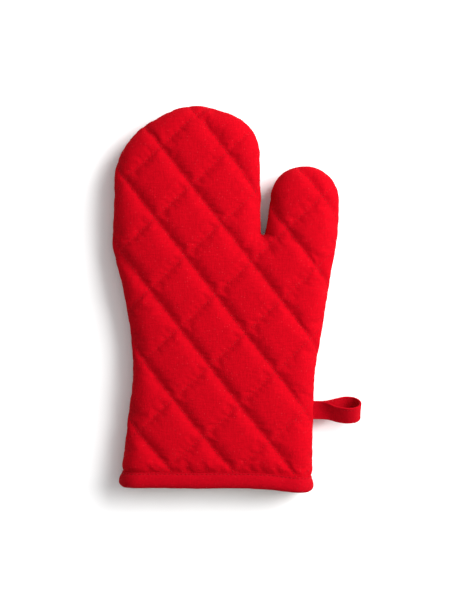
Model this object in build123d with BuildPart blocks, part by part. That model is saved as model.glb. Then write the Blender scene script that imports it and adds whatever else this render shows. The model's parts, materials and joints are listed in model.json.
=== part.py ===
"""A quilted oven mitt lying on its back, palm face up.

Two padded halves, front and back, meet in a seam halfway up.  Each half is three
layers, cover, wadding and lining, held together by diamond quilting.  The mouth is
bound with tape and a folded tape loop hangs from the side seam.

Millimetres.  +Z is up out of the palm, +Y runs from the cuff to the fingertips and
+X points to the thumb.  The origin is under the middle of the box of the whole mitt.
"""
import os
from math import cos, radians, sin, tan

from build123d import *

# ---- driving dimensions -------------------------------------------------------
mitt_length = 300
mitt_height = 30
rim_radius = 14             # roll of the padded edge, seen in section

cover_thickness = 1.0
wadding_thickness = 4.2
lining_thickness = 0.8
tape_thickness = 0.8        # folded binding tape
binding_width = 13
binding_squeeze = 0.6       # what the binding takes off the layers' thickness
binding_row = 1.8           # from the binding's inner edge to the far side of its stitches
thread_width = 0.6
thread_depth = 0.5
seam_clearance = 0.4        # from the inside of the cover to the closing seam

quilt_spacing = 37.5        # between neighbouring rows, square to them
falling_angle = -52         # rows that run down towards the thumb side
rising_angle = 42.5         # rows that cross them
quilt_column = -44.5        # x at which the rows' heights are given
falling_height = 99.5
rising_height = 80
rows_below = 6              # rows of each family below the given height
rows_above = 3              # and above it

finger_fold = 58            # y of the crease where the fingers fold
thumb_fold_start = (22.5, 60)
thumb_fold_angle = -50
notch_middle = 20.3         # x between fingers and thumb
zone_gap = 0.3

loop_width = 14             # folded tape, edge to edge
loop_tape = 1.6
loop_height = 19            # across the eye of the loop, outside
loop_end = 96.7
loop_hinge_x = 62.3
loop_middle_y = -86.4
loop_tilt = 28              # the loop leans so that its eye faces partly up
loop_tail_start = 54.4
loop_tail_end = 60.6
loop_pinch = 7              # distance from the seam where the loop's two runs part
pinch_radius = 0.4
stitch_margin = 1.6         # from the tape's edge to its row of stitches
tack_setback = 1            # from the middle of the tail to the thread across it

# ---- derived ------------------------------------------------------------------
seam_height = mitt_height / 2
cuff_end = -mitt_length / 2
binding_top = cuff_end + binding_width
wadding_inset = cover_thickness
lining_inset = wadding_inset + wadding_thickness
cavity_inset = lining_inset + lining_thickness
# Under the binding the layers are squeezed, so that the tape lies flush outside.
squeezed_cover = tape_thickness
squeezed_wadding = squeezed_cover + cover_thickness
squeezed_lining = lining_inset - binding_squeeze
squeezed_cavity = squeezed_lining + cover_thickness
binding_inset = squeezed_cavity + tape_thickness
far = 400                   # longer than the mitt, for cutting bodies

# Corners of the outline, each rounded by the radius beside it.  The mouth's two
# ends lie beyond the cuff, where the halves are then cut off square.
trim = 20
mouth_right = (57.7, cuff_end - trim)
mouth_left = (-93, cuff_end - trim)
outline_corners = [
    ((59.5, -62), 300),         # wrist, thumb side
    ((79, 55), 150),            # thumb, outer side
    ((79, 103), 26),            # thumb tip, right
    ((30, 103), 24),            # thumb tip, left
    ((22, 50), 1.7),            # notch, thumb side
    ((18.5, 50), 1.7),          # notch, finger side
    ((18, 138), 36),            # fingertips, right
    ((-40, 153.9), 50),         # fingertips, top
    ((-95, 121), 57),           # fingertips, left
    ((-97, 44), 35),            # little finger's knuckle
    ((-79, -38), 210),          # wrist, far side
]


# ---- the padded half and its layers ---------------------------------------------
def half_pad(inset):
    """The front half as one solid, all its faces moved in by inset."""
    with BuildPart() as pad:
        with BuildSketch(Plane.XY.offset(seam_height)):
            with BuildLine():
                corners = [point for point, _ in outline_corners]
                radii = [radius for _, radius in outline_corners]
                FilletPolyline(mouth_right, *corners, mouth_left, radius=radii)
                Line(mouth_left, mouth_right)
            make_face()
            if inset:
                offset(amount=-inset)
        extrude(amount=seam_height - inset)
        rim = pad.faces().sort_by(Axis.Z)[-1].edges().sort_by(Axis.Y)[1:]
        fillet(rim, radius=rim_radius - inset)
    return pad.part


pads = {}


def shell(outer, inner, low, high):
    """What lies between two insets of the front half, for y from low to high."""
    for inset in (outer, inner):
        if inset not in pads:
            pads[inset] = half_pad(inset)
    with BuildPart() as wall:
        add(pads[outer])
        add(pads[inner], mode=Mode.SUBTRACT)
        with BuildSketch(Plane.XY):
            with Locations((0, (low + high) / 2)):
                Rectangle(far, high - low)
        extrude(amount=far / 2, both=True, mode=Mode.INTERSECT)
    return wall.part


def layer(outer, inner, squeezed_outer, squeezed_inner):
    """One layer of the front half, thinner or shifted where the binding grips it."""
    with BuildPart() as sheet:
        add(shell(outer, inner, binding_top, mitt_length))
        add(shell(squeezed_outer, squeezed_inner, cuff_end + tape_thickness, binding_top))
    return sheet.part


# ---- quilting rows ----------------------------------------------------------------
def row_heights(start, angle):
    """Heights, at the quilt column, of the rows of one family over the mitt."""
    pitch = quilt_spacing / cos(radians(angle))
    return [start + pitch * step for step in range(-rows_below, rows_above + 1)]


with BuildPart() as quilt_walls:
    with BuildSketch(Plane.XY.offset(-mitt_height)):
        for row_start, row_angle in ((falling_height, falling_angle), (rising_height, rising_angle)):
            for height in row_heights(row_start, row_angle):
                with Locations(Location((quilt_column, height), row_angle)):
                    Rectangle(3 * far, thread_width)
    extrude(amount=3 * mitt_height)


def quilting(outer, inner):
    """The thread of all rows that lies between two insets of the front half."""
    with BuildPart() as rows:
        add(shell(outer, inner, binding_top, mitt_length))
        add(quilt_walls.part, mode=Mode.INTERSECT)
    return rows.part


# ---- zones: the mitt folds at two creases, so each layer is cut there ---------------
def thumb_crease_y(x, side):
    """Height of the thumb's crease at x, moved square to it by side."""
    angle = radians(thumb_fold_angle)
    return thumb_fold_start[1] + (x - thumb_fold_start[0]) * tan(angle) + side / cos(angle)


half_gap = zone_gap / 2
zone_outlines = {
    "hand": [
        (-far, -far),
        (far, -far),
        (far, thumb_crease_y(far, -half_gap)),
        (notch_middle, thumb_crease_y(notch_middle, -half_gap)),
        (notch_middle, finger_fold - half_gap),
        (-far, finger_fold - half_gap),
    ],
    "fingers": [
        (-far, finger_fold + half_gap),
        (notch_middle, finger_fold + half_gap),
        (notch_middle, far),
        (-far, far),
    ],
    "thumb": [
        (notch_middle, thumb_crease_y(notch_middle, half_gap)),
        (far, thumb_crease_y(far, half_gap)),
        (far, far),
        (notch_middle, far),
    ],
}

zones = {}
for zone_name, corners in zone_outlines.items():
    with BuildPart() as zone:
        with BuildSketch(Plane.XY.offset(-mitt_height)):
            with BuildLine():
                Polyline(*corners, close=True)
            make_face()
        extrude(amount=3 * mitt_height)
    zones[zone_name] = zone.part

# ---- hanging loop --------------------------------------------------------------------
tilt = radians(loop_tilt)
loop_plane = Plane(
    origin=(loop_hinge_x, loop_middle_y, seam_height),
    x_dir=(1, 0, 0),
    z_dir=(0, cos(tilt), sin(tilt)),
)
eye_radius = loop_height / 2
eye_centre = loop_end - loop_hinge_x - eye_radius


def teardrop():
    """The loop's outer section, drawn in the sketch that is being made."""
    Circle(loop_tape)
    with Locations((eye_centre, 0)):
        Circle(eye_radius)
    make_hull()


with BuildPart() as loop_stitching:
    for row_side in (-1, 1):
        with BuildSketch(loop_plane.offset(row_side * (loop_width / 2 - stitch_margin))):
            teardrop()
            offset(amount=-thread_depth, mode=Mode.SUBTRACT)
        extrude(amount=thread_width / 2, both=True)

with BuildPart() as hanging_loop:
    with BuildSketch(loop_plane):
        teardrop()
    extrude(amount=loop_width / 2, both=True)
    with BuildSketch(loop_plane):
        with Locations((eye_centre, 0)):
            Circle(eye_radius - loop_tape)
        with Locations((loop_pinch, 0)):
            Circle(pinch_radius)
        make_hull()
    extrude(amount=loop_width, both=True, mode=Mode.SUBTRACT)
    add(loop_stitching.part, mode=Mode.SUBTRACT)

# The end of the same tape, held in the side seam.
tail_middle = (loop_tail_start + loop_tail_end) / 2
tail_length = loop_tail_end - loop_tail_start

with BuildPart() as tack_thread:
    with Locations((tail_middle - tack_setback, loop_middle_y, seam_height)):
        Box(thread_width, loop_width - 2 * stitch_margin, 2 * loop_tape)

with BuildPart() as tail_space:
    with Locations((tail_middle, loop_middle_y, seam_height)):
        Box(tail_length, loop_width, 2 * loop_tape)

with BuildPart() as loop_tail:
    add(tail_space.part)
    add(tack_thread.part, mode=Mode.SUBTRACT)

# ---- cuff binding and its stitching ------------------------------------------------------
seam_plane = Plane.XY.offset(seam_height)
row_low = binding_top - binding_row
row_high = row_low + thread_width

with BuildPart() as binding_stitching:
    add(shell(0, thread_depth, row_low, row_high))
    add(shell(binding_inset - thread_depth, binding_inset, row_low, row_high))
    mirror(about=seam_plane)

with BuildPart() as cuff_binding:
    add(shell(0, squeezed_cover, cuff_end, binding_top))
    add(shell(squeezed_cavity, binding_inset, cuff_end, binding_top))
    add(shell(0, binding_inset, cuff_end, cuff_end + tape_thickness))
    mirror(about=seam_plane)
    add(binding_stitching.part, mode=Mode.SUBTRACT)

# ---- closing seam: the thread that joins front and back round the edge ----------------------
seam_depth = wadding_inset + seam_clearance

with BuildPart() as closing_seam:
    add(shell(seam_depth, seam_depth + thread_width, binding_top, mitt_length))
    with BuildSketch(seam_plane):
        Rectangle(3 * far, 3 * far)
    extrude(amount=thread_width / 2, mode=Mode.INTERSECT)
    mirror(about=seam_plane)
    add(tail_space.part, mode=Mode.SUBTRACT)

# ---- layers of the front half; the back half is their mirror image ---------------------------
needle_rows = quilting(0, thread_depth)
bobbin_rows = quilting(cavity_inset - thread_depth, cavity_inset)

with BuildPart() as cover:
    add(layer(0, wadding_inset, squeezed_cover, squeezed_wadding))
    add(needle_rows, mode=Mode.SUBTRACT)

with BuildPart() as wadding:
    add(layer(wadding_inset, lining_inset, squeezed_wadding, squeezed_lining))
    add(closing_seam.part, mode=Mode.SUBTRACT)

with BuildPart() as lining:
    add(layer(lining_inset, cavity_inset, squeezed_lining, squeezed_cavity))
    add(bobbin_rows, mode=Mode.SUBTRACT)

front_layers = {
    "cover": cover.part,
    "wadding": wadding.part,
    "lining": lining.part,
    "quilting": needle_rows,
    "bobbin_rows": bobbin_rows,
}

# ---- write every piece ---------------------------------------------------------------------
os.makedirs("parts", exist_ok=True)


def write(name, piece):
    piece.label = name
    export_step(piece, f"parts/{name}.step")


for zone_name, zone_solid in zones.items():
    for layer_name, solid in front_layers.items():
        for side in ("front", "back"):
            with BuildPart() as piece:
                add(solid)
                if side == "back":
                    mirror(about=seam_plane, mode=Mode.REPLACE)
                add(zone_solid, mode=Mode.INTERSECT)
                if zone_name == "hand":
                    add(tail_space.part, mode=Mode.SUBTRACT)
            write(f"{side}_{layer_name}_{zone_name}", piece.part)
    with BuildPart() as seam_piece:
        add(closing_seam.part)
        add(zone_solid, mode=Mode.INTERSECT)
    write(f"closing_seam_{zone_name}", seam_piece.part)

write("cuff_binding", cuff_binding.part)
write("binding_stitching", binding_stitching.part)
write("hanging_loop", hanging_loop.part)
write("loop_stitching", loop_stitching.part)
write("loop_tail", loop_tail.part)
write("loop_tack", tack_thread.part)
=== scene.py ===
# %% [markdown]
# # A quilted oven mitt
#
# A mitt is two padded faces, front and back, sewn together round the hand.  Each face
# is three layers: a cotton cover, felt wadding and a thin lining, held together by a
# grid of stitched rows.  We build it the way it is made: first the flat cut shape, then
# the padded surface, then the puffs between the rows, and last the tape and thread.

# %% Load the frame
import json
import math

import bpy
import numpy as np
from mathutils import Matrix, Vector, geometry, noise
from mathutils.bvhtree import BVHTree


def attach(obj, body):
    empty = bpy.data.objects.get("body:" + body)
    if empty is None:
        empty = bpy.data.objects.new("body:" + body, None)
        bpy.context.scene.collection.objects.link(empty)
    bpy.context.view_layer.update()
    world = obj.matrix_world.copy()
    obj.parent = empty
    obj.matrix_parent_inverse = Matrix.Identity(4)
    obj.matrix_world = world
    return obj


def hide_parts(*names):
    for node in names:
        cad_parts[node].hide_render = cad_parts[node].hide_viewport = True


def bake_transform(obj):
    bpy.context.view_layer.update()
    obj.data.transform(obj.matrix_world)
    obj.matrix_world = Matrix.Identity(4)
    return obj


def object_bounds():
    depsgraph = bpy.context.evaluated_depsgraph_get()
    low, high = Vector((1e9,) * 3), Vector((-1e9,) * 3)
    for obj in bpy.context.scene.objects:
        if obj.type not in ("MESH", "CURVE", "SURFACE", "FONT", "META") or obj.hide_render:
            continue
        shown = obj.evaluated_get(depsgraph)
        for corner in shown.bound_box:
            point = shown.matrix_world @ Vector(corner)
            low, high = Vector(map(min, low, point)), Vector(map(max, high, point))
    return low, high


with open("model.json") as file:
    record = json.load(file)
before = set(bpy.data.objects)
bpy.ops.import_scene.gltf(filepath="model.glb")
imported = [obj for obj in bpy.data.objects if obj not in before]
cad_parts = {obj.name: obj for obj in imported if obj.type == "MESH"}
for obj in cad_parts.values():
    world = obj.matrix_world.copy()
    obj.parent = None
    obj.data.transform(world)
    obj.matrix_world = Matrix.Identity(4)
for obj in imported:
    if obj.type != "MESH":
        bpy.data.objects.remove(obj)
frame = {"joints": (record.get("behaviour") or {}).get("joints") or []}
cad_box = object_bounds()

print("CAD box in mm:", [[round(c * 1000, 1) for c in corner] for corner in cad_box])

# %% [markdown]
# ## Small helpers
#
# Colours are written as a designer writes them, in sRGB hex, and one function makes
# them linear for the shader.  One function adds a node with its settings and links.

# %% Colour, nodes and meshes
MM = 0.001


def linear(hex_colour):
    """An sRGB hex colour such as "#C80819" as linear red, green, blue and alpha."""
    channels = [int(hex_colour[i:i + 2], 16) / 255 for i in (1, 3, 5)]
    straight = [c / 12.92 if c <= 0.04045 else ((c + 0.055) / 1.055) ** 2.4 for c in channels]
    return (*straight, 1.0)


def add_node(tree, kind, inputs=None, **settings):
    """Adds a node, sets its settings, and fills inputs from values or from sockets."""
    node = tree.nodes.new(kind)
    for key, value in settings.items():
        setattr(node, key, value)
    for key, value in (inputs or {}).items():
        if isinstance(value, bpy.types.NodeSocket):
            tree.links.new(value, node.inputs[key])
        else:
            node.inputs[key].default_value = value
    return node


def make_object(name, points_mm, faces, uv_mm=None, material=None):
    """A smooth mesh object from points in mm; uv_mm gives each point's place in the flat cloth."""
    mesh = bpy.data.meshes.new(name)
    mesh.from_pydata([tuple(p) for p in np.asarray(points_mm) * MM], [], [tuple(f) for f in faces])
    mesh.shade_smooth()
    if uv_mm is not None:
        layer = mesh.uv_layers.new(name="cloth")
        corners = np.empty(len(mesh.loops), int)
        mesh.loops.foreach_get("vertex_index", corners)
        layer.data.foreach_set("uv", (np.asarray(uv_mm)[corners] * MM).astype(np.float32).ravel())
    made = bpy.data.objects.new(name, mesh)
    bpy.context.scene.collection.objects.link(made)
    if material:
        mesh.materials.append(material)
    return made


# %% [markdown]
# ## The cut shape
#
# The pattern of a mitt is a few straight runs joined by round corners, so the outline is
# a short list of corners with a radius each, the same as in the CAD.  The function below
# rounds them and returns points with the direction that points into the cloth.

# %% The outline, in mm
length = (cad_box[1][1] - cad_box[0][1]) / MM
height = (cad_box[1][2] - cad_box[0][2]) / MM
cuff = -length / 2
seam_height = height / 2
rim = 14                    # width of the rolled edge, seen from above
cloth_step = 2.35           # distance between points of the cloth mesh
outline_corners = [
    ((59.5, -62), 300),     # wrist, thumb side
    ((79, 55), 150),        # thumb, outer side
    ((79, 103), 26),        # thumb tip, right
    ((30, 103), 24),        # thumb tip, left
    ((22, 50), 1.7),        # notch, thumb side
    ((18.5, 50), 1.7),      # notch, finger side
    ((18, 138), 36),        # fingertips, right
    ((-40, 153.9), 50),     # fingertips, top
    ((-95, 121), 57),       # fingertips, left
    ((-97, 44), 35),        # little finger's knuckle
    ((-79, -38), 210),      # wrist, far side
]
mouth_right = (58.0, cuff)
mouth_left = (-90.9, cuff)


def rounded_outline(start, corners, end):
    """Points round the outline, each with its unit direction into the cloth."""
    knots = [np.array(p, float) for p in [start] + [c[0] for c in corners] + [end]]
    radii = [0] + [c[1] for c in corners] + [0]
    points, inward = [], []
    leave = knots[0]
    for before, knot, after, radius in zip(knots, knots[1:], knots[2:], radii[1:]):
        u = (knot - before) / np.linalg.norm(knot - before)
        v = (after - knot) / np.linalg.norm(after - knot)
        turn = math.atan2(u[0] * v[1] - u[1] * v[0], u @ v)
        arrive = knot - u * radius * math.tan(abs(turn) / 2)
        count = max(1, round(np.linalg.norm(arrive - leave) / cloth_step))
        for step in range(count):
            points.append(leave + (arrive - leave) * step / count)
            inward.append((-u[1], u[0]))
        side = math.copysign(1, turn)
        centre = arrive + side * radius * np.array((-u[1], u[0]))
        widest = max(radius, radius - side * rim)
        count = max(2, round(abs(turn) * widest / cloth_step))
        heading = math.atan2(u[1], u[0])
        for step in range(count):
            angle = heading + turn * step / count
            normal = np.array((-math.sin(angle), math.cos(angle)))
            points.append(centre - side * radius * normal)
            inward.append(tuple(normal))
        leave = knot + v * radius * math.tan(abs(turn) / 2)
    v = (knots[-1] - leave) / np.linalg.norm(knots[-1] - leave)
    count = round(np.linalg.norm(knots[-1] - leave) / cloth_step)
    for step in range(count + 1):
        points.append(leave + (knots[-1] - leave) * step / count)
        inward.append((-v[1], v[0]))
    return np.array(points), np.array(inward)


edge, into = rounded_outline(mouth_right, outline_corners, mouth_left)
edge_length = np.linalg.norm(np.diff(edge, axis=0), axis=1).sum()
print("outline:", len(edge), "points,", round(float(edge_length)), "mm long")

# %% [markdown]
# ## The quilted rows
#
# Two families of straight rows cross the cloth and make diamonds.  They were sewn while
# the cloth was flat, so they are straight in the flat pattern and only bend where the
# cloth rolls over the edge.  Row heights are given on one upright line.

# %% Rows of stitches
quilt_spacing = 37.5
quilt_column = -44.5
falling = {"angle": math.radians(-52), "height": 99.5}
rising = {"angle": math.radians(42.5), "height": 80.0}


def row_distance(flat, family):
    """Signed distance in mm, square to the rows, from each flat point to row number 0."""
    angle = family["angle"]
    return (flat[:, 0] - quilt_column) * -math.sin(angle) + (flat[:, 1] - family["height"]) * math.cos(angle)


def nearest_row(flat, family):
    """Each point's signed distance in mm to the nearest row."""
    across = row_distance(flat, family)
    return across - np.round(across / quilt_spacing) * quilt_spacing


falling_way = np.array((math.cos(falling["angle"]), math.sin(falling["angle"])))
rising_way = np.array((math.cos(rising["angle"]), math.sin(rising["angle"])))
diamond_side = quilt_spacing / math.sin(rising["angle"] - falling["angle"])
along = np.linalg.solve(
    np.column_stack((falling_way, -rising_way)),
    np.array((0, rising["height"] - falling["height"])),
)
first_crossing = np.array((quilt_column, falling["height"])) + falling_way * along[0]
print("rows cross first at", first_crossing.round(1), "mm; a diamond's side is", round(diamond_side, 1), "mm")

# %% [markdown]
# ## The cloth mesh of one face
#
# The rolled edge is made of rings that follow the outline.  Inside the last ring the
# points lie on a grid that is lined up with the rows, so that every row of stitches has
# points exactly on it.  A Delaunay triangulation joins the two.

# %% One face: rings round the edge, a grid inside
ring_count = 10
grid_per_diamond = 16
panel_end = cuff + 1.4

roll = np.linspace(0, math.pi / 2, ring_count + 1)
inner_ring = edge + into * rim


def inside(points, polygon):
    """True for each point that lies inside the closed polygon."""
    hit = np.zeros(len(points), bool)
    for (x0, y0), (x1, y1) in zip(polygon, np.roll(polygon, -1, axis=0)):
        crosses = (y0 > points[:, 1]) != (y1 > points[:, 1])
        if y0 != y1:
            hit ^= crosses & (points[:, 0] < x0 + (points[:, 1] - y0) * (x1 - x0) / (y1 - y0))
    return hit


def distance_to_chain(points, chain):
    """Distance from each point to the nearest stretch of an open chain."""
    best = np.full(len(points), np.inf)
    for a, b in zip(chain, chain[1:]):
        run = b - a
        share = np.clip(((points - a) @ run) / max(run @ run, 1e-9), 0, 1)
        best = np.minimum(best, np.linalg.norm(points - a - share[:, None] * run, axis=1))
    return best


steps = np.arange(-120, 121)
grid_u, grid_v = np.meshgrid(steps, steps, indexing="ij")
grid = (
    first_crossing
    + grid_u.reshape(-1, 1) * rising_way * diamond_side / grid_per_diamond
    + grid_v.reshape(-1, 1) * falling_way * diamond_side / grid_per_diamond
)
closed_ring = np.vstack((inner_ring, inner_ring[:1]))
grid = grid[inside(grid, inner_ring)]
grid = grid[distance_to_chain(grid, closed_ring) > 0.55 * cloth_step]

mouth_count = int((inner_ring[0, 0] - inner_ring[-1, 0]) / cloth_step)
mouth_line = np.linspace(inner_ring[-1], inner_ring[0], mouth_count + 1)[1:-1]
flat_points = np.vstack((inner_ring, mouth_line, grid))
whole_ring = list(range(len(inner_ring) + len(mouth_line)))
cut = geometry.delaunay_2d_cdt([Vector(p) for p in flat_points], [], [whole_ring], 1, 1e-4, True)
order = [ids[0] for ids in cut[3]]
flat_faces = [[order[v] for v in face] for face, in_ring in zip(cut[2], cut[5]) if in_ring]
print("flat mesh:", len(flat_points), "points,", len(flat_faces), "triangles")

# %% [markdown]
# ## From flat cloth to a padded face
#
# Every point gets a place on a smooth pad: the inside of the panel is level, and the
# edge rolls down to the seam like a quarter of a pipe.  Each point also keeps its place
# in the flat cloth, so that rows and weave follow the roll instead of sliding over it.

# %% The smooth pad
roll_length = (rim + seam_height) / 2 * math.pi / 2
tuck = 1.5                  # how far the seam sits inside the edge
tuck_reach = 1.0            # height over which the tuck fades
fullness = 1.0              # how far the padded side swells past the cut shape

half_angle = roll[:-1, None]
seam_pull = np.exp(-half_angle * seam_height / tuck_reach)
rings_in = rim * (1 - np.cos(half_angle)) + tuck * seam_pull - fullness * np.cos(half_angle) * (1 - seam_pull)
rings_up = seam_height * np.sin(half_angle)
ring_xy = edge[None] + into[None] * rings_in[..., None]
left_to_roll = (1 - half_angle / (math.pi / 2)) * roll_length
ring_flat = inner_ring[None] - into[None] * left_to_roll[..., None]
ring_normal = np.concatenate(
    (
        -into[None] * np.cos(half_angle)[..., None],
        np.broadcast_to(np.sin(half_angle)[..., None], (ring_count, len(edge), 1)),
    ),
    axis=2,
)

inner_count = len(flat_points)
face_flat = np.vstack((ring_flat.reshape(-1, 2), flat_points))
face_xy = np.vstack((ring_xy.reshape(-1, 2), flat_points))
face_up = np.concatenate((np.repeat(rings_up.ravel(), len(edge)), np.full(inner_count, seam_height)))
face_normal = np.vstack((ring_normal.reshape(-1, 3), np.tile((0.0, 0.0, 1.0), (inner_count, 1))))

# A filled pad is highest in its middle and falls off well before its edge.
crown_drop = 0.28           # share of the height lost right at the edge
crown_width = 46            # mm from the edge to the level middle
mouth_reach = 60            # mm from the mouth over which the shape settles into the flat opening
from_edge = distance_to_chain(face_xy, edge)
from_mouth = np.clip((face_xy[:, 1] - cuff) / mouth_reach, 0, 1)
face_up *= 1 - crown_drop * (1 - np.clip(from_edge / crown_width, 0, 1)) ** 2 * from_mouth

# The cloth ends inside the binding, a little short of the mouth's edge.
face_xy[:, 1] = np.maximum(face_xy[:, 1], panel_end)

first_inner = ring_count * len(edge)
face_faces = []
for ring in range(ring_count):
    low, high = ring * len(edge), (ring + 1) * len(edge)
    for i in range(len(edge) - 1):
        face_faces.append((low + i, low + i + 1, high + i + 1, high + i))
face_faces += [tuple(first_inner + v for v in f) for f in flat_faces]
point_count = len(face_flat)

to_falling = nearest_row(face_flat, falling)
to_rising = nearest_row(face_flat, rising)
print("one face:", point_count, "points,", len(face_faces), "faces")

# %% [markdown]
# ## Where the thread pulls
#
# Along a row the thread pulls cover and lining together, so the cover dips.  The falling
# rows were sewn last and pull hardest.  Close to the mouth the binding squeezes all the
# layers, so the cover goes down under it.

# %% Depth of the rows
falling_depth = 2.0
rising_depth = 1.1
row_width = 2.6
binding_top = cuff + 13


def ease(value, low, high):
    """0 below low, 1 above high and a smooth step between."""
    share = np.clip((value - low) / (high - low), 0, 1)
    return share * share * (3 - 2 * share)


mouth_share = 1 - ease(face_xy[:, 1], binding_top - 0.5, binding_top + 4.5)
edge_share = 0.25 + 0.75 * ease(face_up, 3, 0.9 * seam_height)
row_pull = np.maximum(
    falling_depth * np.exp(-np.abs(to_falling / row_width) ** 1.3),
    rising_depth * np.exp(-np.abs(to_rising / row_width) ** 1.3),
) * edge_share


mouth_skew = 3.4            # the thumb side of the mouth hangs lower than the far side
lip_gap = 0.9               # the front lip is drawn back a little from the back lip


def skewed(points):
    """Points moved along the mitt so that the mouth hangs a little askew, as sewn."""
    fade = 1 - ease(points[:, 1], cuff, cuff + mouth_reach)
    far_side = ease(-points[:, 0], -mouth_right[0], 10)
    lip = np.cos(np.clip((points[:, 0] + 17) / 75, -1, 1) * math.pi / 2) * (points[:, 2] / seam_height - 1)
    shift = mouth_skew * far_side + lip_gap * lip + 0.5 * np.sin(points[:, 0] / 17)
    return points + np.column_stack((0 * fade, fade * shift, 0 * fade))


def pad_points(inset, side):
    """Places in mm of the points of the front (side 1) or back (side -1) face, moved in by inset."""
    points = np.column_stack((face_xy, face_up)) - face_normal * np.reshape(inset, (-1, 1))
    points[:, 2] = seam_height + side * points[:, 2]
    return skewed(points)


binding_grip = 1.7          # how far the binding presses the cover in
cover_inset = row_pull * (1 - mouth_share) + binding_grip * mouth_share
print("rows pull the cover in by up to", round(float(cover_inset.max()), 1), "mm")

# %% [markdown]
# ## Letting the wadding push
#
# A real puff is cloth held along the rows and pushed out by the wadding.  Blender's
# Cloth does the same: the rows, the seam and the mouth are pinned, pressure pushes the
# rest, and the cloth is cut a few percent too large so that it wrinkles beside the rows.
# Front and back are blown up as one bag, and no point may move further than a limit.

# %% Cloth simulation of the cover
puff_limit = 1.6            # mm that a point may leave the smooth pad
table_clearance = 0.1       # mm kept above the table


def welded_bag():
    """Front and back covers as one mesh, joined at the seam, with the index of every back point."""
    front, back = pad_points(cover_inset, 1), pad_points(cover_inset, -1)
    seam_points = np.arange(len(edge))
    own_points = np.arange(len(edge), point_count) + point_count - len(edge)
    back_index = np.concatenate((seam_points, own_points))
    points = np.vstack((front, back[len(edge):]))
    faces = face_faces + [tuple(back_index[v] for v in reversed(f)) for f in face_faces]
    return points, faces, back_index


bag_points, bag_faces, back_index = welded_bag()
held = (np.abs(to_falling) < 0.5) | (np.abs(to_rising) < 0.5) | (face_xy[:, 1] < binding_top + 1)
held[:len(edge)] = True


def blow_up(points, faces, pinned, frames=18):
    """Runs Cloth with outward pressure and returns where the points end, in mm."""
    bag = make_object("bag", points, faces)
    group = bag.vertex_groups.new(name="pinned")
    group.add([int(i) for i in np.flatnonzero(pinned)], 1.0, "REPLACE")
    cloth = bag.modifiers.new("cloth", "CLOTH")
    settings = cloth.settings
    settings.quality = 5
    settings.mass = 0.0006
    settings.tension_stiffness = 12
    settings.compression_stiffness = 12
    settings.shear_stiffness = 3
    settings.bending_stiffness = 0.02
    settings.air_damping = 2
    settings.vertex_group_mass = "pinned"
    settings.use_pressure = True
    settings.uniform_pressure_force = 900
    settings.shrink_min = -0.03
    settings.shrink_max = -0.03
    settings.effector_weights.gravity = 0
    cloth.collision_settings.use_collision = False
    cloth.point_cache.frame_start = 1
    cloth.point_cache.frame_end = frames
    for frame_number in range(1, frames + 1):
        bpy.context.scene.frame_set(frame_number)
    evaluated = bag.evaluated_get(bpy.context.evaluated_depsgraph_get())
    ended = np.empty(len(points) * 3)
    evaluated.data.vertices.foreach_get("co", ended)
    bpy.data.objects.remove(bag)
    bpy.context.scene.frame_set(1)
    return ended.reshape(-1, 3) / MM


# %% Blow up the bag, then limit each point's move
all_held = np.concatenate((held, held[len(edge):]))
blown = blow_up(bag_points, bag_faces, all_held)
move = blown - bag_points
reach = np.linalg.norm(move, axis=1, keepdims=True)
move *= puff_limit * np.tanh(reach / puff_limit) / np.maximum(reach, 1e-9)
blown = bag_points + move
blown[:, 2] = np.maximum(blown[:, 2], table_clearance)
print("cover points moved by", round(float(np.mean(reach)), 2), "mm on average")

# %% [markdown]
# ## One finer mesh for each cover
#
# The blown-up bag is smoothed once by Subdivision Surface.  On the finer mesh we add what
# the simulation is too coarse to give: small puckers beside the rows and a slow waviness.
# The thumb becomes a piece of its own, because it folds at another crease than the
# fingers.  The cut runs along rows of stitches, where no one sees it.

# %% Refine and wrinkle
def refine(points, faces, attributes):
    """Subdivides a mesh once and returns its points, faces and the attributes of its points."""
    rough = make_object("rough", points, faces)
    for name, values in attributes.items():
        layer = rough.data.attributes.new(name, "FLOAT_VECTOR", "POINT")
        layer.data.foreach_set("vector", np.asarray(values, np.float32).ravel())
    subdivision = rough.modifiers.new("subdivision", "SUBSURF")
    subdivision.levels = subdivision.render_levels = 1
    fine = rough.evaluated_get(bpy.context.evaluated_depsgraph_get()).to_mesh()
    out = np.empty(len(fine.vertices) * 3)
    fine.vertices.foreach_get("co", out)
    normals = np.empty(len(fine.vertices) * 3)
    fine.vertices.foreach_get("normal", normals)
    kept = {}
    for name in attributes:
        values = np.empty(len(fine.vertices) * 3)
        fine.attributes[name].data.foreach_get("vector", values)
        kept[name] = values.reshape(-1, 3)
    fine_faces = [tuple(p.vertices) for p in fine.polygons]
    rough.to_mesh_clear()
    bpy.data.objects.remove(rough)
    return out.reshape(-1, 3) / MM, normals.reshape(-1, 3), fine_faces, kept


def wave(points, size, seed):
    """Smooth noise from -1 to 1 at each flat point, for waves about size mm long."""
    return np.array([noise.noise(Vector((p[0] / size, p[1] / size, seed))) for p in points]) * 1.6


deepest_crease = 0.8        # mm; the wadding lies just below
slow_wave = 0.3             # mm high and 24 mm long
quick_wave = 0.14           # mm high and 8 mm long
ripple_height = 0.26        # mm, beside the rows of stitches


def creases(flat, seed, long_way, short_way, sharp):
    """Narrow folds, 0 to 1 deep, drawn out across the hand: thin lines where smooth noise is near 0."""
    swing = np.column_stack((flat[:, 0] / long_way, (flat[:, 1] + 0.12 * flat[:, 0]) / short_way))
    level = wave(swing, 1.0, seed)
    strength = np.clip(wave(flat, 24, seed + 2) * 1.6 + 0.1, 0, 1)
    return np.exp(-(level / sharp) ** 2) * strength


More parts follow.
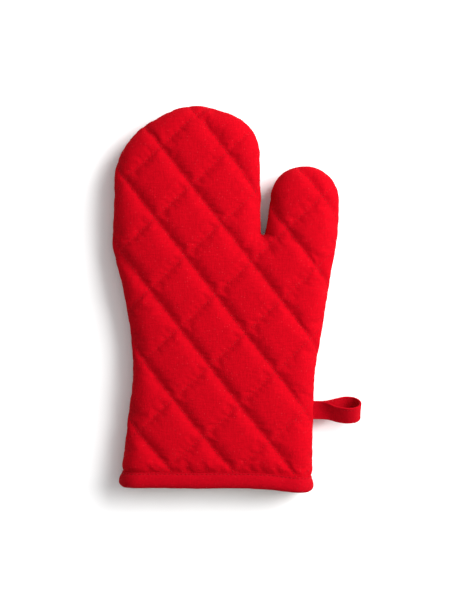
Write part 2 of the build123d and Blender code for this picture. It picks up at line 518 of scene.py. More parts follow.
def add_puckers(flat, up_share, seed):
    """How far, in mm, each fine point moves outwards for puckers, creases and waviness."""
    lift = slow_wave * wave(flat, 24, seed) + quick_wave * wave(flat, 8, seed + 5)
    to_row = np.full(len(flat), np.inf)
    for family, way in ((falling, falling_way), (rising, rising_way)):
        across = nearest_row(flat, family)
        to_row = np.minimum(to_row, np.abs(across))
        ripples = wave(np.column_stack((flat @ way, across * 0.35)), 4.6, seed + 9)
        lift += ripple_height * ripples * np.exp(-np.abs(across) / 4.5) * (1 - np.exp(-np.abs(across) / 1.2))
    near_row = np.exp(-to_row / 9) * (1 - np.exp(-to_row / 1.5))
    lift -= 1.0 * creases(flat, seed + 13, 22, 7.5, 0.14) * near_row
    return np.maximum(lift, -deepest_crease) * up_share


def split_of_thumb(flat, xy):
    """True where a point belongs to the thumb piece: beyond falling row 0, right of the notch."""
    beyond = row_distance(flat, falling) > 0
    below_rising = row_distance(flat, rising) + 2 * quilt_spacing < 0
    return beyond & (below_rising | (xy[:, 0] > notch_middle))


notch_middle = 20.3
covers = {}
for side_name, side, coarse in (("front", 1, blown[:point_count]), ("back", -1, blown[back_index])):
    faces = face_faces if side == 1 else [tuple(reversed(f)) for f in face_faces]
    flat3 = np.column_stack((face_flat, mouth_share))
    points, normals, fine_faces, kept = refine(coarse, faces, {"flat": flat3})
    flat = kept["flat"][:, :2]
    lift = add_puckers(flat, ease(np.abs(points[:, 2] - seam_height), 2, 9), 3.0 + 20 * (side < 0))
    lift *= 1 - kept["flat"][:, 2]
    points += normals * lift[:, None]
    points[:, 2] = np.maximum(points[:, 2], table_clearance)
    covers[side_name] = {
        "points": points, "normals": normals, "faces": fine_faces,
        "flat": flat, "coarse": coarse, "side": side,
    }
    print(side_name, "cover:", len(points), "points,", len(fine_faces), "faces")

# %% [markdown]
# ## Turning a surface into a piece
#
# A cloth piece has a thickness: an outer face, an inner face and narrow walls along its
# edges.  Both halves of a cut share the same directions of light, taken from the uncut
# surface, so the cut does not show.

# %% Cloth pieces
def border_walls(faces, shift):
    """Faces that join each border edge to the same edge of a copy whose numbers are shifted."""
    used = {}
    for face in faces:
        for a, b in zip(face, face[1:] + face[:1]):
            used[(a, b)] = True
    return [(b, a, a + shift, b + shift) for a, b in used if (b, a) not in used]


def cloth_piece(name, outer, inner, faces, flat, normals, material):
    """A closed piece between two surfaces with the same faces; unused points are dropped."""
    used = sorted({v for face in faces for v in face})
    place = {old: new for new, old in enumerate(used)}
    faces = [tuple(place[v] for v in face) for face in faces]
    shift = len(used)
    closed = faces + [tuple(v + shift for v in reversed(face)) for face in faces] + border_walls(faces, shift)
    points = np.vstack((outer[used], inner[used]))
    piece = make_object(name, points, closed, np.vstack((flat[used], flat[used])), material)
    if normals is not None:
        shading = np.vstack((normals[used], -normals[used]))
        piece.data.normals_split_custom_set_from_vertices([tuple(n) for n in shading])
    return piece


def split_faces(faces, flat, points):
    """The faces of the hand-and-fingers piece and of the thumb piece."""
    corners = np.array([face[:3] for face in faces])
    middle_flat = flat[corners].mean(axis=1)
    middle_xy = points[corners].mean(axis=1)
    is_thumb = split_of_thumb(middle_flat, middle_xy)
    main = [face for face, thumb in zip(faces, is_thumb) if not thumb]
    thumb_part = [face for face, thumb in zip(faces, is_thumb) if thumb]
    return {"main": main, "thumb": thumb_part}


cover_thickness = 0.9
back_cloth_offset = 400     # mm; the back is cut from another part of the cloth
cover_material = bpy.data.materials.new("cotton_canvas_red")
cover_pieces = {}
for side_name, cover in covers.items():
    inner = cover["points"] - cover["normals"] * cover_thickness
    for part, faces in split_faces(cover["faces"], cover["flat"], cover["points"]).items():
        name = f"{side_name}_cover_{part}"
        shifted = cover["flat"] + (0 if side_name == "front" else back_cloth_offset)
        cover_pieces[name] = cloth_piece(
            name, cover["points"], inner, faces, shifted, cover["normals"], cover_material
        )
        print(name, len(cover_pieces[name].data.polygons), "faces")

# %% [markdown]
# ## Lining and wadding
#
# The lining is the same cut shape, further in.  The thread pulls it outwards along the
# rows, and between them it sags a little into the hollow.  The wadding fills what is left
# between cover and lining, and is pressed thin along every row.

# %% Lining and wadding
lining_thickness = 0.7
layers_thickness = 6.0
wadding_gap = 2.1           # from the outside of the cover, clear of its deepest creases
squeezed_thickness = 4.7

row_nearness = np.maximum(
    np.exp(-np.abs(to_falling / 4) ** 1.5), 0.8 * np.exp(-np.abs(to_rising / 4) ** 1.5)
) * edge_share
lining_sag = 0.35 * wave(face_flat, 30, 7.0) + 0.2 * wave(face_flat, 9, 8.0)
lining_inset = (layers_thickness + 0.5 + lining_sag - 1.7 * row_nearness) * (1 - mouth_share)
lining_inset += squeezed_thickness * mouth_share

lining_material = bpy.data.materials.new("plain_cotton_ecru")
wadding_material = bpy.data.materials.new("needled_felt_white")
linings, waddings = {}, {}
for side_name, cover in covers.items():
    side = cover["side"]
    outward = face_normal * (1, 1, side)
    faces = face_faces if side == 1 else [tuple(reversed(f)) for f in face_faces]
    outer = pad_points(lining_inset, side)
    for part, part_faces in split_faces(faces, face_flat, outer).items():
        name = f"{side_name}_lining_{part}"
        linings[name] = cloth_piece(
            name, outer, outer - outward * lining_thickness, part_faces, face_flat, outward, lining_material
        )
        name = f"{side_name}_wadding_{part}"
        waddings[name] = cloth_piece(
            name, cover["coarse"] - outward * wadding_gap, outer + outward * 0.1,
            part_faces, face_flat, outward, wadding_material,
        )
print("linings and waddings:", len(linings) + len(waddings), "pieces")

# %% [markdown]
# ## The bound mouth
#
# A strip of tape is folded over the raw edge of all layers and sewn through with one row.
# Its section is drawn once, as distance along the mitt against depth into the layers, and
# carried round the mouth.  It is never quite straight: it waves, and it is fattest where
# it turns the corners at the side seams.

# %% Cuff binding
def mouth_path(at_y):
    """Points and outward directions round the whole mouth at height y, front first."""
    right = np.interp(at_y, edge[:60, 1], edge[:60, 0])
    left = np.interp(at_y, edge[::-1][:60, 1], edge[::-1][:60, 0])
    turn = np.linspace(0, math.pi / 2, 9)
    bend = np.column_stack((rim * (1 - np.cos(turn)), seam_height * np.sin(turn)))
    out = np.column_stack((np.cos(turn), np.sin(turn)))
    across = np.linspace(right - rim, left + rim, 52)[1:-1]
    x = np.concatenate((right - bend[:, 0], across, (left + bend[:, 0])[::-1]))
    z = np.concatenate((bend[:, 1], np.full(len(across), seam_height), bend[::-1, 1]))
    nx = np.concatenate((out[:, 0], np.zeros(len(across)), -out[::-1, 0]))
    nz = np.concatenate((out[:, 1], np.ones(len(across)), out[::-1, 1]))
    x, z = np.concatenate((x, x[-2:0:-1])), np.concatenate((z, -z[-2:0:-1]))
    nx, nz = np.concatenate((nx, nx[-2:0:-1])), np.concatenate((nz, -nz[-2:0:-1]))
    return np.column_stack((x, z + seam_height)), np.column_stack((nx, nz))


# Section of the folded tape: height above the mouth's edge, and depth into the layers.
binding_section = [
    (12.6, 1.5), (12.95, 1.15), (12.9, 0.75), (12.5, 0.45), (12.0, 0.5), (11.5, 0.75), (11.0, 0.45),
    (10.2, -0.05), (9.0, -0.5), (7.4, -0.85), (5.5, -1.0), (3.6, -0.9), (1.9, -0.3), (0.7, 0.8),
    (0.15, 2.3), (0.3, 3.8), (1.2, 5.1), (2.8, 5.7), (5.0, 5.9), (7.5, 5.8), (9.6, 5.5), (10.9, 5.15),
    (11.4, 5.0), (12.0, 5.3), (12.5, 5.2), (12.6, 4.8),
]
binding_row = 11.5          # height of the row of stitches above the mouth's edge


def binding_point_rows(section=binding_section):
    """One row of points round the mouth for each corner of the section."""
    rows = []
    for up, depth in section:
        path, out = mouth_path(cuff + up)
        spot = path[:, :1] + 0 * path[:, 1:]
        around = np.column_stack((spot[:, 0], np.sign(out[:, 1]) * 200 + path[:, 1]))
        sway = wave(around, 34, 31.0)
        crimp = wave(around, 6.5, 33.0)
        near_seam = np.exp(-((path[:, 1] - seam_height) / 9) ** 2)
        fat = 1 + 0.22 * sway + 0.10 * crimp + 0.25 * near_seam * (depth < 3) * (up < 10)
        swell = np.where(depth < 1.2, 0.6 - depth * fat, 0.6 - depth)
        y = cuff + up + 0.45 * sway * (0.4 + 0.6 * (up > 6)) + 0.18 * crimp + 0.5 * near_seam * (up < 3)
        points = np.column_stack((path[:, 0] + out[:, 0] * swell, y, path[:, 1] + out[:, 1] * swell))
        points[:, 2] = np.maximum(points[:, 2], table_clearance)
        rows.append(skewed(points))
    return np.array(rows)


def strip_faces(rows, columns, close_columns=True):
    """Quads between neighbouring rows of points."""
    faces = []
    for r in range(rows - 1):
        for c in range(columns if close_columns else columns - 1):
            n = (c + 1) % columns
            faces.append((r * columns + c, r * columns + n, (r + 1) * columns + n, (r + 1) * columns + c))
    return faces


tape_material = bpy.data.materials.new("cotton_bias_tape_red")
binding_rows = binding_point_rows()
row_total, column_total = binding_rows.shape[:2]
run = np.concatenate(([0], np.cumsum(np.linalg.norm(np.diff(binding_rows[5], axis=0), axis=1))))
depth_run = np.cumsum([0] + [math.dist(a, b) for a, b in zip(binding_section, binding_section[1:])])
binding_flat = np.array([(run[c], depth_run[r]) for r in range(row_total) for c in range(column_total)])
binding_faces = strip_faces(row_total, column_total)
cuff_binding = make_object(
    "cuff_binding", binding_rows.reshape(-1, 3), binding_faces, binding_flat, tape_material
)
binding_wall = {"thickness": 0.7 * MM, "offset": -1}
for kind, settings in (("SOLIDIFY", binding_wall), ("SUBSURF", {"levels": 1, "render_levels": 1})):
    modifier = cuff_binding.modifiers.new(kind.lower(), kind)
    for key, value in settings.items():
        setattr(modifier, key, value)
print("binding:", column_total, "points round the mouth,", round(float(run[-1])), "mm of tape")

# %% [markdown]
# ## The hanging loop
#
# One length of tape, folded in half along its width, its two ends caught in the side
# seam.  Its centre line is a teardrop; the tape leaves the seam level and twists a
# little, so that one looks into its eye from above.

# %% Hanging loop
loop_record = next(j for j in frame["joints"] if j["name"] == "loop_swing")
loop_root = np.array(loop_record["pos_m"]) / MM
loop_width = 14
loop_tilt = math.radians(28)
loop_centre_line = [
    (-7.6, 0.85), (-3.5, 0.85), (0.5, 0.9), (4.5, 1.5), (9, 3.1), (14, 5.4), (19, 7.5), (24, 8.6), (29, 7.6),
    (32.6, 4.2), (33.6, -0.3), (32.3, -4.8), (28.6, -7.9), (23.5, -8.5), (18, -6.9), (13, -4.8), (8.5, -2.8),
    (4, -1.3), (0.5, -0.9), (-3.5, -0.85), (-7.6, -0.85),
]


def smooth_through(points, per_run):
    """Points of a Catmull-Rom curve through the given points."""
    p = np.array(points, float)
    p = np.vstack((2 * p[0] - p[1], p, 2 * p[-1] - p[-2]))
    out = []
    for a, b, c, d in zip(p, p[1:], p[2:], p[3:]):
        for t in np.arange(per_run) / per_run:
            square = (2 * a - 5 * b + 4 * c - d) * t**2
            cube = (3 * b - a - 3 * c + d) * t**3
            out.append(0.5 * (2 * b + (c - a) * t + square + cube))
    out.append(p[-2])
    return np.array(out)


def loop_point(u, w, v):
    """Place in mm of a point u from the hinge, w off the middle and v along the tape's width."""
    tilt = loop_tilt * ease(u, 0.0, 15.0)
    return np.column_stack((
        loop_root[0] + u,
        loop_root[1] + v * np.cos(tilt) - w * np.sin(tilt),
        loop_root[2] + v * np.sin(tilt) + w * np.cos(tilt),
    ))


loop_line = smooth_through(loop_centre_line, 4)
heading = np.gradient(loop_line, axis=0)
heading /= np.linalg.norm(heading, axis=1, keepdims=True)
off_line = np.column_stack((-heading[:, 1], heading[:, 0]))
loop_row = loop_width / 2 - 1.6
half_section = [
    (-7.0, 0.15), (-6.9, 0.55), (-6.5, 0.8), (-6.0, 0.82), (-5.4, 0.6), (-4.8, 0.78), (-3.2, 0.74), (0, 0.66),
    (3.2, 0.74), (4.8, 0.78), (5.4, 0.6), (6.0, 0.82), (6.5, 0.8), (6.9, 0.55), (7.0, 0.15),
]
tape_section = half_section + [(v, -thick) for v, thick in reversed(half_section)]
loop_rings = []
for place, off in zip(loop_line, off_line):
    ring = [(place[0] + off[0] * thick, place[1] + off[1] * thick, v) for v, thick in tape_section]
    ring = np.array(ring)
    loop_rings.append(loop_point(ring[:, 0], ring[:, 1], ring[:, 2]))
loop_points = np.vstack(loop_rings)
section_count = len(tape_section)
loop_faces = [tuple(reversed(f)) for f in strip_faces(len(loop_rings), section_count)]
loop_faces.append(tuple(range(section_count)))
loop_faces.append(tuple(reversed(range(len(loop_points) - section_count, len(loop_points)))))
line_run = np.concatenate(([0], np.cumsum(np.linalg.norm(np.diff(loop_line, axis=0), axis=1))))
section_run = np.cumsum([0] + [math.dist(a, b) for a, b in zip(tape_section, tape_section[1:])])
loop_flat = np.array([(r, s + 60) for r in line_run for s in section_run])
loop_points += 0.16 * np.column_stack([wave(loop_flat, 7, seed) for seed in (41.0, 42.0, 43.0)])
hanging_loop = make_object("hanging_loop", loop_points, loop_faces, loop_flat, tape_material)
modifier = hanging_loop.modifiers.new("subdivision", "SUBSURF")
modifier.levels = modifier.render_levels = 1
print("loop:", round(float(line_run[-1])), "mm of tape")

# %% [markdown]
# ## Thread
#
# Hundreds of stitches follow the rows, so Geometry Nodes make them.  A row is a chain of
# points; the tree turns it into a curve, sets a point every pitch and puts one small
# stitch there, turned along the curve.  Stitch lengths vary a little, from a fixed seed.

# %% The stitch tree
thread_material = bpy.data.materials.new("polyester_thread_red")
lining_thread_material = bpy.data.materials.new("polyester_thread_ecru")


def stitch_tree():
    """A Geometry Nodes tree that sews along the edges of its input mesh."""
    tree = bpy.data.node_groups.new("row_of_stitches", "GeometryNodeTree")
    tree.interface.new_socket("Geometry", in_out="INPUT", socket_type="NodeSocketGeometry")
    for label, kind in (
        ("Pitch", "NodeSocketFloat"), ("Stitch length", "NodeSocketFloat"),
        ("Thread", "NodeSocketFloat"), ("Seed", "NodeSocketInt"), ("Material", "NodeSocketMaterial"),
    ):
        tree.interface.new_socket(label, in_out="INPUT", socket_type=kind)
    tree.interface.new_socket("Geometry", in_out="OUTPUT", socket_type="NodeSocketGeometry")
    given = tree.nodes.new("NodeGroupInput").outputs
    curve = add_node(tree, "GeometryNodeMeshToCurve", {"Mesh": given["Geometry"]})
    spaced = add_node(tree, "GeometryNodeResampleCurve", {
        "Curve": curve.outputs[0], "Length": given["Pitch"],
    }, mode="LENGTH")
    tangent = add_node(tree, "GeometryNodeInputTangent")
    turned = add_node(tree, "FunctionNodeAlignEulerToVector", {"Vector": tangent.outputs[0]}, axis="X")
    stitch = add_node(tree, "GeometryNodeMeshUVSphere", {"Segments": 6, "Rings": 5, "Radius": 0.5})
    vary = add_node(
        tree, "FunctionNodeRandomValue", {2: 0.85, 3: 1.1, "Seed": given["Seed"]}, data_type="FLOAT"
    )
    long_side = add_node(
        tree, "ShaderNodeMath", {0: given["Stitch length"], 1: vary.outputs[1]}, operation="MULTIPLY"
    )
    size = add_node(
        tree, "ShaderNodeCombineXYZ", {"X": long_side.outputs[0], "Y": given["Thread"], "Z": given["Thread"]}
    )
    placed = add_node(tree, "GeometryNodeInstanceOnPoints", {
        "Points": spaced.outputs[0], "Instance": stitch.outputs[0],
        "Rotation": turned.outputs[0], "Scale": size.outputs[0],
    })
    real = add_node(tree, "GeometryNodeRealizeInstances", {"Geometry": placed.outputs[0]})
    dressed = add_node(
        tree, "GeometryNodeSetMaterial", {"Geometry": real.outputs[0], "Material": given["Material"]}
    )
    add_node(tree, "NodeGroupOutput", {"Geometry": dressed.outputs[0]})
    return tree


sewing = stitch_tree()


def sew(name, chains, material, pitch=3.0, stitch=2.1, thread=0.45, seed=1):
    """Sews along chains of points in mm and returns one mesh piece."""
    points = np.vstack(chains)
    mesh = bpy.data.meshes.new(name)
    ends = np.cumsum([len(chain) for chain in chains])
    edges = [(i, i + 1) for i in range(len(points) - 1) if i + 1 not in ends]
    mesh.from_pydata([tuple(p) for p in points * MM], edges, [])
    guide = bpy.data.objects.new(name, mesh)
    bpy.context.scene.collection.objects.link(guide)
    modifier = guide.modifiers.new("sewing", "NODES")
    modifier.node_group = sewing
    sockets = {item.name: item.identifier for item in sewing.interface.items_tree if item.in_out == "INPUT"}
    values = {
        "Pitch": pitch * MM, "Stitch length": stitch * MM, "Thread": thread * MM,
        "Seed": seed, "Material": material,
    }
    for label, value in values.items():
        modifier[sockets[label]] = value
    depsgraph = bpy.context.evaluated_depsgraph_get()
    sewn = bpy.data.meshes.new_from_object(guide.evaluated_get(depsgraph), depsgraph=depsgraph)
    guide.modifiers.clear()
    guide.data = sewn
    sewn.name = name
    sewn.shade_smooth()
    return guide


# %% [markdown]
# ## Finding the rows on the cloth
#
# A row is straight in the flat cloth.  To find where it runs on the puffed surface we lay
# the mesh out flat, drop a plumb line on it at each point of the row, and read the same
# spot of the same face on the puffed mesh.

# %% Rows on the covers and linings
row_step = 1.0


def flat_lookup(flat, faces):
    """A tree for finding which triangle of the flat mesh holds a flat point."""
    triangles = []
    for face in faces:
        triangles += [(face[0], face[i], face[i + 1]) for i in range(1, len(face) - 1)]
    spread = [Vector((p[0], p[1], 0)) for p in flat]
    return BVHTree.FromPolygons(spread, triangles, all_triangles=True), np.array(triangles)


def on_cloth(flat_spot, lookup, flat, points):
    """The place on the puffed surface of one flat point, or None off the cloth."""
    tree, triangles = lookup
    hit, _, index, _ = tree.ray_cast(Vector((flat_spot[0], flat_spot[1], 1)), Vector((0, 0, -1)))
    if index is None:
        return None
    corners = triangles[index]
    a, b, c = flat[corners]
    corner_rows = np.vstack((np.column_stack((a, b, c)), (1, 1, 1)))
    shares = np.linalg.lstsq(corner_rows, (hit.x, hit.y, 1), rcond=None)[0]
    return shares @ points[corners]


def rows_on(flat, faces, points):
    """Chains of points along every row of both families, for the main and the thumb piece."""
    lookup = flat_lookup(flat, faces)
    chains = {"main": [], "thumb": []}
    for family, way in ((falling, falling_way), (rising, rising_way)):
        square = np.array((-way[1], way[0]))
        start = np.array((quilt_column, family["height"]))
        for number in range(-8, 9):
            chain, part = [], None
            for reach in np.arange(-260, 260, row_step):
                spot = start + square * number * quilt_spacing + way * reach
                place = on_cloth(spot, lookup, flat, points)
                if place is not None and place[1] < binding_top - 0.5:
                    place = None
                here = None
                if place is not None:
                    nudged = spot[None] + 0.05
                    here = "thumb" if split_of_thumb(nudged, np.array([place[:2]]))[0] else "main"
                apart = chain and place is not None and np.linalg.norm(place - chain[-1]) > 4
                if chain and (here != part or apart):
                    if len(chain) > 4:
                        chains[part].append(np.array(chain))
                    chain = []
                if place is not None:
                    chain.append(place)
                    part = here
            if len(chain) > 4:
                chains[part].append(np.array(chain))
    return chains


quilting = {}
for side_name, cover in covers.items():
    for part, chains in rows_on(cover["flat"], cover["faces"], cover["points"]).items():
        lifted = [chain + (0, 0, 0.03 * cover["side"]) for chain in chains]
        name = f"{side_name}_quilting_{part}"
        quilting[name] = sew(name, lifted, thread_material, seed=3)
        total = sum(len(chain) for chain in chains) * row_step
        print(name, len(chains), "rows,", round(total), "mm,", len(quilting[name].data.polygons), "faces")
    side = cover["side"]
    inner_face = pad_points(lining_inset + lining_thickness, side)
    faces = face_faces if side == 1 else [tuple(reversed(f)) for f in face_faces]
    for part, chains in rows_on(face_flat, faces, inner_face).items():
        name = f"{side_name}_bobbin_rows_{part}"
        quilting[name] = sew(name, chains, lining_thread_material, seed=5)

# %% Rows on the binding, the loop and the closing seam
def closed(chain):
    """The chain with its first point added again at its end."""
    return np.vstack((chain, chain[:1]))


row_sections = [(binding_row, 0.6), (binding_row - 0.1, 5.3)]
binding_chains = [closed(binding_point_rows(section=[place])[0]) for place in row_sections]
binding_stitching = sew(
    "binding_stitching", binding_chains, thread_material, pitch=3.2, stitch=2.4, thread=0.5, seed=7
)

tape_surface = 0.68         # from the tape's middle to its stitches
free_of_seam = 8.5          # tape at each end that the side seam hides
inside_line = loop_line + off_line * tape_surface
outside_line = loop_line - off_line * tape_surface
on_tape = (line_run > free_of_seam) & (line_run < line_run[-1] - free_of_seam)
loop_chains = [
    loop_point(line[on_tape, 0], line[on_tape, 1], np.full(on_tape.sum(), v))
    for line in (outside_line, inside_line) for v in (-loop_row, loop_row)
]
loop_stitching = sew(
    "loop_stitching", loop_chains, thread_material, pitch=2.6, stitch=1.9, thread=0.42, seed=9
)

seam_spots = skewed(np.column_stack((edge + into * (tuck + 0.15), np.full(len(edge), seam_height))))
above_binding = edge[:, 1] > binding_top
seam_spots = seam_spots[above_binding]
near_fingers = edge[above_binding]
seam_flat = (edge - into * (roll_length - rim))[above_binding]
is_thumb = split_of_thumb(seam_flat, near_fingers)
flips = np.flatnonzero(np.diff(is_thumb.astype(int))) + 1
seam_runs = np.split(seam_spots, flips)
run_is_thumb = [bool(part[0]) for part in np.split(is_thumb, flips)]
closing_seam = {}
for part in ("main", "thumb"):
    runs = [r for r, thumb in zip(seam_runs, run_is_thumb) if thumb == (part == "thumb") and len(r) > 2]
    closing_seam[part] = sew(
        f"closing_seam_{part}", runs, thread_material, pitch=2.6, stitch=2.2, thread=0.6, seed=11
    )
print("seam runs:", len(seam_runs))
tack_line = [loop_point(np.full(12, -6.2), np.full(12, w), np.linspace(-5.4, 5.4, 12)) for w in (-1.75, 1.75)]
loop_tack = sew("loop_tack", tack_line, lining_thread_material, pitch=1.4, stitch=1.6, thread=0.5, seed=13)

# %% [markdown]
# ## Finishes
#
# The cover is plain-woven cotton canvas.  Its yarns are uneven, so the colour and the
# surface vary along each yarn, and short pale fibres catch the light as specks.  Cotton
# has no gloss but a soft sheen at grazing angles.  The weave reads the cloth's own flat
# map, so it turns with the rolled edge.

# %% Woven cotton
def uneven_yarn(tree, place, stretch, seed):
    """Noise drawn out along one direction of the cloth, for yarns that are thick and thin."""
    turned = add_node(
        tree, "ShaderNodeMapping", {"Vector": place, "Scale": stretch, "Location": (seed, seed * 2, 0)}
    )
    return add_node(tree, "ShaderNodeTexNoise", {
        "Vector": turned.outputs[0], "Scale": 1.0, "Detail": 3.0, "Roughness": 0.6,
    }).outputs["Fac"]


def woven_cotton(material, dark, light, fleck, sheen_tint, yarn=0.6, grain=1.3, sheen=0.1):
    """Plain-woven cotton; yarn and grain are in mm, colours are sRGB hex."""
    material.use_nodes = True
    tree = material.node_tree
    shader = tree.nodes["Principled BSDF"]
    place = add_node(tree, "ShaderNodeUVMap", uv_map="cloth").outputs[0]

    # Yarns: one set each way, thick and thin.  Real yarns are too fine to show whole, so
    # the unevenness is drawn at grain size and the true weave only as a light relief.
    across, lengthwise = 1000 / grain, 1000 / (grain * 5)
    warp = uneven_yarn(tree, place, (across, lengthwise, 1), 3.1)
    weft = uneven_yarn(tree, place, (lengthwise, across, 1), 7.7)
    yarns = add_node(tree, "ShaderNodeMath", {0: warp, 1: weft}, operation="ADD").outputs[0]
    fine = add_node(
        tree, "ShaderNodeTexNoise", {"Vector": place, "Scale": 1000 / (yarn * 1.6), "Detail": 2.0}
    ).outputs["Fac"]
    mottle = add_node(
        tree, "ShaderNodeTexNoise", {"Vector": place, "Scale": 1000 / 26, "Detail": 3.0}
    ).outputs["Fac"]

    even = add_node(tree, "ShaderNodeMapRange", {
        "Value": yarns, "From Min": 0.75, "From Max": 1.25, "To Min": 0.0, "To Max": 1.0,
    }).outputs[0]
    patchy = add_node(tree, "ShaderNodeMix", {0: 0.35, 2: even, 3: mottle}, data_type="FLOAT").outputs[0]
    grainy = add_node(tree, "ShaderNodeMix", {0: 0.3, 2: patchy, 3: fine}, data_type="FLOAT").outputs[0]
    dyed = add_node(
        tree, "ShaderNodeMix", {0: grainy, 6: linear(dark), 7: linear(light)}, data_type="RGBA"
    ).outputs[2]

    # Pale fibre ends: small spots, only in a few of the cells.
    cells = add_node(tree, "ShaderNodeTexVoronoi", {"Vector": place, "Scale": 1000 / 1.9, "Randomness": 1.0})
    spot = add_node(tree, "ShaderNodeMapRange", {
        "Value": cells.outputs["Distance"], "From Min": 0.06, "From Max": 0.24, "To Min": 0.4, "To Max": 0.0,
    }).outputs[0]
    pick = add_node(tree, "ShaderNodeSeparateColor", {"Color": cells.outputs["Color"]}).outputs[0]
    few = add_node(tree, "ShaderNodeMath", {0: pick, 1: 0.8}, operation="GREATER_THAN").outputs[0]
    flecks = add_node(tree, "ShaderNodeMath", {0: spot, 1: few}, operation="MULTIPLY").outputs[0]
    colour = add_node(
        tree, "ShaderNodeMix", {0: flecks, 6: dyed, 7: linear(fleck)}, data_type="RGBA"
    ).outputs[2]
    tree.links.new(colour, shader.inputs["Base Color"])

    # Relief: the weave itself, then the uneven yarns over it.
    split = add_node(tree, "ShaderNodeSeparateXYZ", {"Vector": place})
    ways = []
    for axis in ("X", "Y"):
        turns = add_node(
            tree, "ShaderNodeMath", {0: split.outputs[axis], 1: math.pi * 1000 / yarn}, operation="MULTIPLY"
        ).outputs[0]
        ways.append(add_node(tree, "ShaderNodeMath", {0: turns}, operation="SINE").outputs[0])
    weave = add_node(tree, "ShaderNodeMath", {0: ways[0], 1: ways[1]}, operation="MULTIPLY").outputs[0]
    relief = add_node(
        tree, "ShaderNodeMath", {0: weave, 1: 0.12, 2: yarns}, operation="MULTIPLY_ADD"
    ).outputs[0]
    relief = add_node(
        tree, "ShaderNodeMath", {0: fine, 1: 0.8, 2: relief}, operation="MULTIPLY_ADD"
    ).outputs[0]
    bump = add_node(tree, "ShaderNodeBump", {"Height": relief, "Strength": 0.55, "Distance": 0.35 * MM})
    tree.links.new(bump.outputs[0], shader.inputs["Normal"])

    shader.inputs["Roughness"].default_value = 0.95
    shader.inputs["IOR"].default_value = 1.5
    shader.inputs["Specular IOR Level"].default_value = 0.05
    shader.inputs["Sheen Weight"].default_value = sheen
    shader.inputs["Sheen Roughness"].default_value = 0.45
    shader.inputs["Sheen Tint"].default_value = linear(sheen_tint)


woven_cotton(cover_material, "#94000C", "#BA0114", "#CC343E", "#E01020")
woven_cotton(tape_material, "#8C000C", "#B20115", "#C43039", "#E01020", yarn=0.4, grain=0.9)
woven_cotton(lining_material, "#CFC5B2", "#E4DCCB", "#F4F0E6", "#FFFFFF", yarn=0.45, grain=1.2)

# %% [markdown]
# Thread is two or three strands twisted together, with a slight shine.  Felt is a mat of
# crossed fibres without any direction.

# %% Thread and felt
def spun_thread(material, dark, light):
    """Twisted polyester thread; the twist shows as fine light and dark along the strand."""
    material.use_nodes = True
    tree = material.node_tree
    shader = tree.nodes["Principled BSDF"]
    place = add_node(tree, "ShaderNodeTexCoord").outputs["Object"]
    strands = add_node(
        tree, "ShaderNodeTexNoise", {"Vector": place, "Scale": 1000 / 0.35, "Detail": 1.0}
    ).outputs["Fac"]
    dyed = add_node(tree, "ShaderNodeMix", {0: strands, 6: linear(dark), 7: linear(light)}, data_type="RGBA")
    bump = add_node(tree, "ShaderNodeBump", {"Height": strands, "Strength": 0.4, "Distance": 0.1 * MM})
    tree.links.new(dyed.outputs[2], shader.inputs["Base Color"])
    tree.links.new(bump.outputs[0], shader.inputs["Normal"])
    shader.inputs["Roughness"].default_value = 0.7
    shader.inputs["Specular IOR Level"].default_value = 0.15


def needled_felt(material, dark, light):
    """Felt wadding: crossed fibres a fraction of a millimetre thick."""
    material.use_nodes = True
    tree = material.node_tree
    shader = tree.nodes["Principled BSDF"]
    place = add_node(tree, "ShaderNodeTexCoord").outputs["Object"]
    fibres = add_node(
        tree, "ShaderNodeTexNoise", {"Vector": place, "Scale": 1000 / 1.5, "Detail": 5.0, "Distortion": 2.0}
    ).outputs["Fac"]
    tone = add_node(tree, "ShaderNodeMix", {0: fibres, 6: linear(dark), 7: linear(light)}, data_type="RGBA")
    bump = add_node(tree, "ShaderNodeBump", {"Height": fibres, "Strength": 0.7, "Distance": 0.4 * MM})
    tree.links.new(tone.outputs[2], shader.inputs["Base Color"])
    tree.links.new(bump.outputs[0], shader.inputs["Normal"])
    shader.inputs["Roughness"].default_value = 1.0


spun_thread(thread_material, "#8E000E", "#B00316")
spun_thread(lining_thread_material, "#C9BFAC", "#E6DFD0")
needled_felt(wadding_material, "#D8D5CE", "#F0EEE8")
print("materials:", len(bpy.data.materials))

# %% [markdown]
# ## Putting the pieces in place of the CAD's parts
#
# Cloth does not break at a crease: it bends over a few centimetres.  Each piece stays
# where it was built and hides the CAD parts that it stands for; the binding, its
# stitches and the loop's tack are tied to the hand.


def bend_with(piece, part, cad_name):
    """Bakes a layer's piece in place and hides the CAD's zones that it stands for."""
    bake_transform(piece)
    zones = ("hand", "fingers") if part == "main" else ("thumb",)
    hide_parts(*[f"{cad_name}_{zone}" for zone in zones])


def flat_size(piece):
    """Width, length and area in metres of the cloth a piece was cut from, from its flat map."""
    mesh = piece.data
    uv = np.empty(len(mesh.loops) * 2)
    mesh.uv_layers["cloth"].data.foreach_get("uv", uv)
    uv = uv.reshape(-1, 2)
    width, tall = uv.max(axis=0) - uv.min(axis=0)
    area = 0.0
    for polygon in mesh.polygons:
        x, y = uv[polygon.loop_indices].T
        area += abs(np.dot(x, np.roll(y, -1)) - np.dot(y, np.roll(x, -1))) / 2
    return float(width), float(tall), float(area / 2)


for pieces, layer, slot_name in (
    (cover_pieces, "cover", "cover_canvas"), (linings, "lining", "lining_cotton"),
    (waddings, "wadding", "wadding_felt"), (quilting, "", ""),
):
    for name, piece in pieces.items():
        cad_name, part = name.rsplit("_", 1)
        if pieces is quilting:
            slot_name = "lining_thread" if "bobbin" in name else "cover_thread"
        bend_with(piece, part, cad_name)
        if layer in ("cover", "lining"):
            width, tall, area = flat_size(piece)
            print(name, round(width * 1000), "x", round(tall * 1000), "mm,", round(area * 1e4), "cm2")
for part, piece in closing_seam.items():
    bend_with(piece, part, "closing_seam")

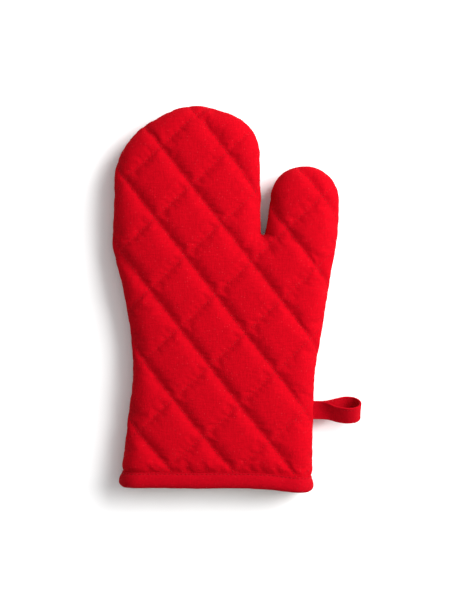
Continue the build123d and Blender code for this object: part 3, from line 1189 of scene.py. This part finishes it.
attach(cuff_binding, "hand")
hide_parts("cuff_binding")
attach(binding_stitching, "hand")
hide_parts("binding_stitching")

for piece, nodes, slot_name in (
    (hanging_loop, ("hanging_loop", "loop_tail"), "loop_tape"),
    (loop_stitching, ("loop_stitching",), "cover_thread"),
):
    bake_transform(piece)
    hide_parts(*nodes)
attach(loop_tack, "hand")
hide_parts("loop_tack")

# %% [markdown]
# ## Camera, light and floor
#
# The camera looks straight down from over a metre, so the mitt shows almost without
# perspective.  A large soft light comes from the upper right and low enough to draw the
# rows; a pale world fills the shadows.

# %% Camera
camera_data = bpy.data.cameras.new("camera")
camera_data.lens = 85
camera_data.sensor_width = 36
frame_height = 0.468        # metres of table seen from top to bottom
camera_distance = frame_height * camera_data.lens / camera_data.sensor_width
view_middle = (-0.0094, -0.0006)
camera = bpy.data.objects.new("camera", camera_data)
bpy.context.scene.collection.objects.link(camera)
camera.location = (*view_middle, camera_distance + seam_height * MM)
bpy.context.scene.camera = camera

# %% Light and floor
def area_light(name, place, size, energy):
    """A square soft light at place, turned towards the mitt."""
    light = bpy.data.lights.new(name, "AREA")
    light.size = size
    light.energy = energy
    lamp = bpy.data.objects.new(name, light)
    lamp.location = place
    lamp.rotation_euler = Vector(place).to_track_quat("Z", "Y").to_euler()
    bpy.context.scene.collection.objects.link(lamp)
    return lamp


area_light("key", (1.0, 0.5, 0.85), 1.1, 44)
area_light("top", (0.2, 0.1, 1.6), 1.4, 5)

world = bpy.data.worlds.new("studio")
bpy.context.scene.world = world
world.use_nodes = True
world.node_tree.nodes["Background"].inputs["Color"].default_value = linear("#FFFFFF")
world.node_tree.nodes["Background"].inputs["Strength"].default_value = 0.38
bpy.context.scene.view_settings.view_transform = "Standard"

floor_material = bpy.data.materials.new("white_paper")
floor_material.use_nodes = True
floor_shader = floor_material.node_tree.nodes["Principled BSDF"]
floor_shader.inputs["Base Color"].default_value = linear("#FAFAFA")
floor_shader.inputs["Roughness"].default_value = 0.9
floor_corners = [(-3000, -3000, 0), (3000, -3000, 0), (3000, 3000, 0), (-3000, 3000, 0)]
floor = make_object("floor", floor_corners, [(0, 1, 2, 3)], material=floor_material)
